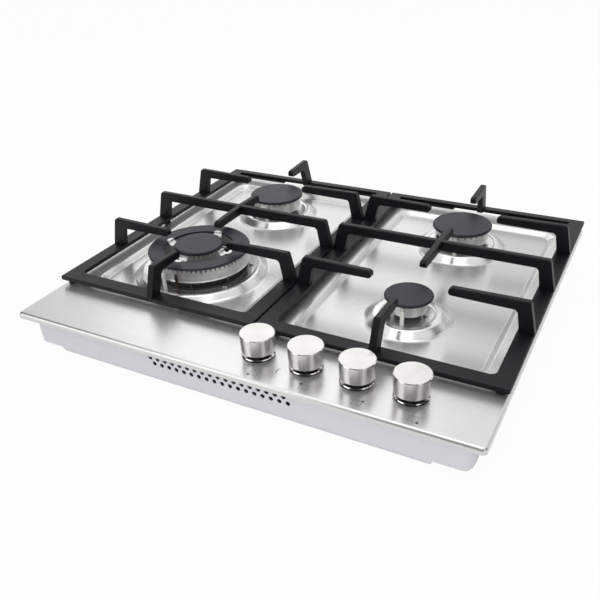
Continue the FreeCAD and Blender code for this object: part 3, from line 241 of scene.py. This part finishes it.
def bezel_with_painted_shade():
    """Polished ring whose foot is coloured near black as painted shade, the shadow gap under the knob, so
    that only its bevel shines.
    """
    t = Tree("bezel_with_painted_shade")
    polished = (0.85, 0.84, 0.82)
    shader = t.principled(polished, 1.0, 0.16)
    lip_over_painted_shade = t.spread(t.height(), 0.0, 1.0, *BEZEL_LIP)
    # painted shade: below the lip the ring is near black, standing in for the shadow under the knob
    t.link(t.blend(lip_over_painted_shade, (0.05, 0.05, 0.05), polished), shader.inputs["Base Color"])
    t.link(t.spread(t.noise(900.0), 0.13, 0.2), shader.inputs["Roughness"])
    return t.material


def pan_coating():
    """Satin grey coating of the base pan, finely speckled."""
    t = Tree("pan_steel")
    shader = t.principled((0.70, 0.70, 0.75), 0.0, 0.5, Specular_IOR_Level=0.3)
    speckle = t.noise(500.0)
    tone = t.math("ADD", t.spread(speckle, 0.3, 0.7), t.spread(t.noise(9.0, 2.0), -0.2, 0.2))
    t.link(t.blend(tone, (0.66, 0.66, 0.71), (0.73, 0.73, 0.78)), shader.inputs["Base Color"])
    t.bump(shader, speckle, 0.08, 0.0002)
    return t.material


def patchy(name, mean, tones, rough, patches, bump, grain=None):
    """Patches of two tones and two roughnesses under a fine grain, or raised themselves.

    mean is the colour, metallic and roughness, with the specular level where it isn't the usual one;
    patches and grain are noises, and bump is a strength and a height.
    """
    t = Tree(name)
    more = {"Specular_IOR_Level": mean[3]} if len(mean) > 3 else {}
    shader = t.principled(*mean[:3], **more)
    spots = t.noise(*patches)
    t.link(t.blend(spots, *tones), shader.inputs["Base Color"])
    t.link(t.spread(spots, *rough), shader.inputs["Roughness"])
    t.bump(shader, t.noise(*grain) if grain else spots, *bump)
    return t.material


def plain(name, color, metallic, roughness, strength=0.1):
    """Small parts: one colour with a fine variation of tone and surface."""
    tones = (tuple(c * 0.88 for c in color), tuple(min(1.0, c * 1.1) for c in color))
    rough = (roughness * 0.85, roughness * 1.15)
    return patchy(name, (color, metallic, roughness), tones, rough, (600.0,), (strength, 0.0001))


MATERIALS = {
    "brushed_stainless": plate_steel(),
    "pan_steel": pan_coating(),
    "plated_steel": plain("plated_steel", (0.62, 0.61, 0.60), 1.0, 0.3),
    "seal_rubber": plain("seal_rubber", (0.03, 0.03, 0.03), 0.0, 0.8, strength=0.3),
    "black_cast_iron": patchy(          # matt black enamel with the fine pitting of the casting
        "black_cast_iron", ((0.006, 0.006, 0.008), 0.0, 0.42, 0.24),
        ((0.003, 0.003, 0.004), (0.007, 0.007, 0.010)), (0.38, 0.52),
        (35.0,), (0.4, 0.0003), grain=(700.0, 3.0, 0.6)),
    "burner_aluminium": patchy(
        "burner_aluminium", ((0.80, 0.795, 0.785), 0.82, 0.32),
        ((0.58, 0.577, 0.57), (0.88, 0.877, 0.87)), (0.24, 0.46),
        (160.0,), (0.5, 0.0003), grain=(1400.0, 3.0, 0.6)),
    "black_enamel": patchy(
        "black_enamel", ((0.03, 0.032, 0.036), 0.0, 0.42, 0.24),
        ((0.017, 0.020, 0.026), (0.025, 0.029, 0.037)), (0.36, 0.5),
        (60.0, 2.0), (0.15, 0.0001), grain=(1200.0,)),
    "knob_metal": knob_metal(),
    "valve_brass": plain("valve_brass", (0.75, 0.58, 0.28), 1.0, 0.28),
    "ceramic": plain("ceramic", (0.82, 0.81, 0.77), 0.0, 0.25),
    "dark_plastic": plain("dark_plastic", (0.03, 0.03, 0.03), 0.0, 0.5),
}
HEAT_TINTED = patchy(                   # sensors browned by the flame
    "heat_tinted_steel", ((0.30, 0.22, 0.16), 1.0, 0.35),
    ((0.05, 0.038, 0.03), (0.17, 0.13, 0.1)), (0.28, 0.45), (300.0,), (0.1, 0.0001))
CUP_CASTING_AND_SHADE = patchy(                   # duller than the flame rings that lie on the cups, and coloured darker as painted shade under them
    "burner_cup_casting_and_shade", ((0.08, 0.078, 0.075), 0.7, 0.5),
    ((0.05, 0.049, 0.047), (0.12, 0.118, 0.114)), (0.42, 0.6), (220.0,), (0.3, 0.0002))
OWN_LOOKS = {"thermocouples": HEAT_TINTED, "knob_bezels": bezel_with_painted_shade()}
for burner in ("wok", "rear_left", "front_right", "rear_right"):
    OWN_LOOKS["burner_cup_" + burner] = CUP_CASTING_AND_SHADE
for part in frame["record"]["subparts"]:
    node = NODES[part["node"]]
    node.data.materials.clear()
    node.data.materials.append(OWN_LOOKS.get(part["node"]) or MATERIALS[part["material_slot"]])


# ---------------------------------------------------------------- frames of the pan supports
FRAME_UNDERSIDE = 7.2       # over the plate: the casting is thin between its feet
FRAME_LEDGE = 8.2           # over the plate: step of the back bar, which stays where it is
CORNER_CAST = 7.0           # radius of the solid's outer corners
CORNER_CRISP = 2.0          # and as they are seen
PAD_RADIUS = 5.0
FOOT_PROFILE = ((4.2, 1.5), (4.8, 2.1), (6.4, 7.6))     # radius, height over the plate
TOUCH = 1e-5


def new_piece(mesh, body, material):
    """Piece named like its mesh, which moves with a body."""
    mesh.materials.clear()
    mesh.materials.append(material)
    piece = bpy.data.objects.new(mesh.name, mesh)
    scene.collection.objects.link(piece)
    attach(piece, body)
    return piece


def crisp_corner(mesh, x, y, sx, sy):
    """Smaller radius for the corner whose rounding has its middle at x, y."""
    change = (CORNER_CAST - CORNER_CRISP) * MM
    for vertex in mesh.vertices:
        offset = Vector((vertex.co.x - x, vertex.co.y - y))
        if offset.x * sx > -TOUCH and offset.y * sy > -TOUCH and offset.length > change:
            offset *= (offset.length - change) / offset.length
            vertex.co.x = x + sx * change + offset.x
            vertex.co.y = y + sy * change + offset.y


def support_frame(side):
    """Frame of a pan support with its underside raised and its outer corners crisp."""
    name = "pan_support_" + side
    low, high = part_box(name)
    mesh = NODES[name].data.copy()
    mesh.name = "support_frame_" + side
    inset = CORNER_CAST * MM
    for sx, x in ((-1, low[0] + inset), (1, high[0] - inset)):
        for sy, y in ((-1, low[1] + inset), (1, high[1] - inset)):
            crisp_corner(mesh, x, y, sx, sy)
    ledge = PLATE_TOP + FRAME_LEDGE * MM
    squeeze = (FRAME_LEDGE - FRAME_UNDERSIDE) * MM / (ledge - low[2])
    for vertex in mesh.vertices:
        vertex.co.z += max(0.0, ledge - vertex.co.z) * (1.0 - squeeze)
    piece = new_piece(mesh, name, MATERIALS["black_cast_iron"])
    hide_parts(name)


def support_feet(side, sides=28):
    """Six short tapered feet that stand on the rubber pads."""
    low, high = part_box("support_pads_" + side)
    reach = PAD_RADIUS * MM
    xs = (low[0] + reach, high[0] - reach)
    ys = (low[1] + reach, (low[1] + high[1]) / 2, high[1] - reach)
    rings = len(FOOT_PROFILE) - 1
    points, faces = [], []
    for x, y in ((x, y) for x in xs for y in ys):
        start = len(points)
        for radius, height in FOOT_PROFILE:
            for k in range(sides):
                a = 2 * math.pi * k / sides
                points.append((x + radius * MM * math.cos(a), y + radius * MM * math.sin(a),
                               PLATE_TOP + height * MM))
        faces.append([start + k for k in reversed(range(sides))])
        faces.append([start + rings * sides + k for k in range(sides)])
        for first in range(start, start + rings * sides, sides):
            for k in range(sides):
                a, b = first + k, first + (k + 1) % sides
                faces.append([a, b, b + sides, a + sides])
    mesh = bpy.data.meshes.new("support_feet_" + side)
    mesh.from_pydata(points, [], faces)
    for polygon in mesh.polygons:
        polygon.use_smooth = len(polygon.vertices) == 4
    new_piece(mesh, "pan_support_" + side, MATERIALS["black_cast_iron"])


for side in ("left", "right"):
    support_frame(side)
    support_feet(side)


# ---------------------------------------------------------------- marks on the plate
MARK_HEIGHTS = (-0.01, 0.05)                            # over the plate
ARC_MIDDLE = (67.5, 27.9)                               # the marks are placed in mm, in plan,
ARC_RADIUS, ARC_SWELL, ARC_TIP = 7.5, 0.9, 0.15         # from the plate's middle and front edge
ARC_START, ARC_SWEEP = 135.0, 90.0
ICON_SHIFT = 14.0                                       # icon's middle right of its knob
ICON_Y = 14.0
ICON_HALF = (5.0, 4.1)
ICON_LINE = 0.5
DOT_RADIUS = 1.5
ICON_CORNERS = ((-1, -1), (-1, 1), (1, 1), (1, -1))     # the burner that each knob works


def mark(name, points, faces, material):
    """Thin closed plate of printed ink over an outline in plan."""
    mesh = bpy.data.meshes.new(name)
    low, high = (PLATE_TOP + height * MM for height in MARK_HEIGHTS)
    count = len(points)
    ground = [(x * MM, PLATE_FRONT + y * MM) for x, y in points]
    outline = {}
    for face in faces:
        for pair in zip(face, face[1:] + face[:1]):
            if pair[::-1] in outline:
                del outline[pair[::-1]]
            else:
                outline[pair] = True
    bottom = [face[::-1] for face in faces]
    top = [[count + k for k in face] for face in faces]
    edges = [[a, b, count + b, count + a] for a, b in outline]
    mesh.from_pydata([(x, y, z) for z in (low, high) for x, y in ground], [], bottom + top + edges)
    new_piece(mesh, "hob", material)


def on_circle(x, y, radius, angle):
    return x + radius * math.cos(angle), y + radius * math.sin(angle)


def dot(name, x, y, material, sides=24):
    points = [on_circle(x, y, DOT_RADIUS, 2 * math.pi * k / sides) for k in range(sides)]
    mark(name, points, [list(range(sides))], material)


def rectangle(name, x, y, material):
    """Outline of an icon in lines of one width."""
    hx, hy = ICON_HALF
    corners = ((-1, -1), (1, -1), (1, 1), (-1, 1))
    points = [(x + a * hx, y + b * hy) for a, b in corners]
    points += [(x + a * (hx - ICON_LINE), y + b * (hy - ICON_LINE)) for a, b in corners]
    mark(name, points, [[k, (k + 1) % 4, 4 + (k + 1) % 4, 4 + k] for k in range(4)], material)


def crescent(name, x, y, material, sides=10):
    """Arc that is thickest in its middle, opening to the right."""
    outer, inner = [], []
    for k in range(sides + 1):
        angle = math.radians(ARC_START + ARC_SWEEP * k / sides)
        swell = ARC_SWELL * math.sin(math.pi * k / sides) + ARC_TIP
        outer.append(on_circle(x, y, ARC_RADIUS, angle))
        inner.append(on_circle(x, y, ARC_RADIUS - swell, angle))
    n = sides + 1
    mark(name, outer + inner, [[k, k + 1, n + k + 1, n + k] for k in range(sides)], material)


ink = plain("printed_ink", (0.05, 0.05, 0.05), 0.0, 0.5)
pale_ink = plain("pale_ink", (0.22, 0.22, 0.22), 0.0, 0.5)
crescent("mark_arc", *ARC_MIDDLE, ink)
for number, (knob, (column, row)) in enumerate(zip(KNOBS, ICON_CORNERS), start=1):
    icon_x = knob[0] / MM + ICON_SHIFT
    rectangle("mark_square_%d" % number, icon_x, ICON_Y, pale_ink)
    dot("mark_dot_%d" % number, icon_x + column * ICON_HALF[0], ICON_Y + row * ICON_HALF[1], ink)


# ---------------------------------------------------------------- floor, lights, world
FLOOR_HALF = 6.0
FLOOR_DROP = 0.0005         # under the part, so that the two faces don't fight
FLOOR_GREY = 0.7
SEEN_WHITE = 0.96           # how far the floor is plain white where it is seen; the rest is its shadow
WORLD_SOFT = 0.6            # light of the world on the part
MODEL_MIDDLE = (0.0, -0.1, 0.05)        # what the lamps point at
CARD_TARGET = (0.2, -0.2, 0.05)


def flat_sheet(name, half_width, half_depth, height, material):
    mesh = bpy.data.meshes.new(name)
    corners = ((-1, -1), (1, -1), (1, 1), (-1, 1))
    mesh.from_pydata([(a * half_width, b * half_depth, height) for a, b in corners], [], [(0, 1, 2, 3)])
    mesh.materials.append(material)
    sheet = bpy.data.objects.new(name, mesh)
    scene.collection.objects.link(sheet)
    return sheet


def make_floor():
    """Grey floor that takes the shadow; seen by the camera or in a reflection it is nearly white."""
    t = Tree("floor_white")
    diffuse = t.add("ShaderNodeBsdfDiffuse")
    diffuse.inputs["Color"].default_value = (FLOOR_GREY, FLOOR_GREY, FLOOR_GREY, 1.0)
    glow = t.add("ShaderNodeEmission")
    glow.inputs["Strength"].default_value = 1.0
    path = t.add("ShaderNodeLightPath")
    seen = t.math("MAXIMUM", path.outputs["Is Camera Ray"], path.outputs["Is Glossy Ray"])
    seen = t.math("MAXIMUM", seen, path.outputs["Is Transmission Ray"])
    mix = t.add("ShaderNodeMixShader")
    t.link(t.math("MULTIPLY", seen, SEEN_WHITE), mix.inputs[0])
    t.link(diffuse.outputs[0], mix.inputs[1])
    t.link(glow.outputs[0], mix.inputs[2])
    t.link(mix.outputs[0], t.out.inputs["Surface"])
    flat_sheet("floor", FLOOR_HALF, FLOOR_HALF, -FLOOR_DROP, t.material)


def make_world():
    """White where it is seen or mirrored, softer as a light."""
    world = bpy.data.worlds.new("studio")
    scene.world = world
    world.use_nodes = True
    nodes, links = world.node_tree.nodes, world.node_tree.links
    nodes.clear()
    mix = nodes.new("ShaderNodeMixShader")
    for k, strength in ((1, WORLD_SOFT), (2, 1.0)):
        background = nodes.new("ShaderNodeBackground")
        background.inputs["Color"].default_value = (1.0, 1.0, 1.0, 1.0)
        background.inputs["Strength"].default_value = strength
        links.new(background.outputs[0], mix.inputs[k])
    path = nodes.new("ShaderNodeLightPath")
    seen = nodes.new("ShaderNodeMath")
    seen.operation = "MAXIMUM"
    links.new(path.outputs["Is Camera Ray"], seen.inputs[0])
    links.new(path.outputs["Is Glossy Ray"], seen.inputs[1])
    links.new(seen.outputs[0], mix.inputs[0])
    links.new(mix.outputs[0], nodes.new("ShaderNodeOutputWorld").inputs["Surface"])


def aim(obj, place, target, axis):
    obj.location = place
    obj.rotation_euler = (Vector(target) - Vector(place)).to_track_quat(axis, "Y").to_euler()


def area_light(name, place, size, power, mirrored=True):
    light = bpy.data.lights.new(name, "AREA")
    light.shape = "RECTANGLE"
    light.size, light.size_y = size
    light.energy = power
    obj = bpy.data.objects.new(name, light)
    aim(obj, place, MODEL_MIDDLE, "-Z")
    obj.visible_glossy = mirrored
    scene.collection.objects.link(obj)


def dark_card(name, place, size):
    """Black card outside the picture; only reflections show it."""
    t = Tree(name)
    t.principled((0.02, 0.02, 0.02), 0.0, 0.9)
    card = flat_sheet(name, size[0] / 2, size[1] / 2, 0.0, t.material)
    aim(card, place, CARD_TARGET, "Z")
    card.visible_camera = False
    card.visible_diffuse = False
    card.visible_shadow = False


# ---------------------------------------------------------------- camera, fitted to the photograph
CAMERA_PLACE = Vector((363.06, -717.91, 470.56))        # mm
CAMERA_TARGET = Vector((75.79, -204.46, 53.0))
CAMERA_ROLL = -0.04669                                  # radians
PICTURE_WIDTH = 600.0                                   # pixels
FOCAL_LENGTH = 677.94                                   # pixels
SHIFT_UP = 62.81                                        # pixels
SENSOR_WIDTH = 36.0                                     # mm


def make_camera():
    """Camera at the photograph's place, turned and tilted as it was."""
    forward = (CAMERA_TARGET - CAMERA_PLACE).normalized()
    right = forward.cross(Vector((0, 0, 1))).normalized()
    down = forward.cross(right)
    c, s = math.cos(CAMERA_ROLL), math.sin(CAMERA_ROLL)
    rolled_right = c * right - s * down
    rolled_down = s * right + c * down
    camera = bpy.data.cameras.new("camera")
    camera.sensor_width = SENSOR_WIDTH
    camera.lens = FOCAL_LENGTH * SENSOR_WIDTH / PICTURE_WIDTH
    camera.shift_y = SHIFT_UP / PICTURE_WIDTH
    obj = bpy.data.objects.new("camera", camera)
    rotation = Matrix((rolled_right, -rolled_down, -forward)).transposed()
    obj.matrix_world = Matrix.Translation(CAMERA_PLACE * MM) @ rotation.to_4x4()
    scene.collection.objects.link(obj)
    scene.camera = obj


make_floor()
make_world()
area_light("key", (-0.85, 1.25, 1.1), (1.3, 1.1), 2.6)
area_light("left_panel", (-1.25, -1.3, 1.15), (1.5, 1.2), 4.5)
area_light("top", (0.0, -0.3, 2.0), (1.4, 1.4), 7.5)
area_light("fill", (0.5, -1.6, 0.6), (1.4, 1.0), 8.0, mirrored=False)
dark_card("camera_side_card", (0.54, -1.9, 1.2), (2.6, 2.6))
dark_card("left_card", (-1.7, -0.2, 1.1), (1.6, 1.6))
dark_card("right_card", (2.0, 0.3, 1.0), (2.0, 1.5))
make_camera()

scene.view_settings.view_transform = "Standard"
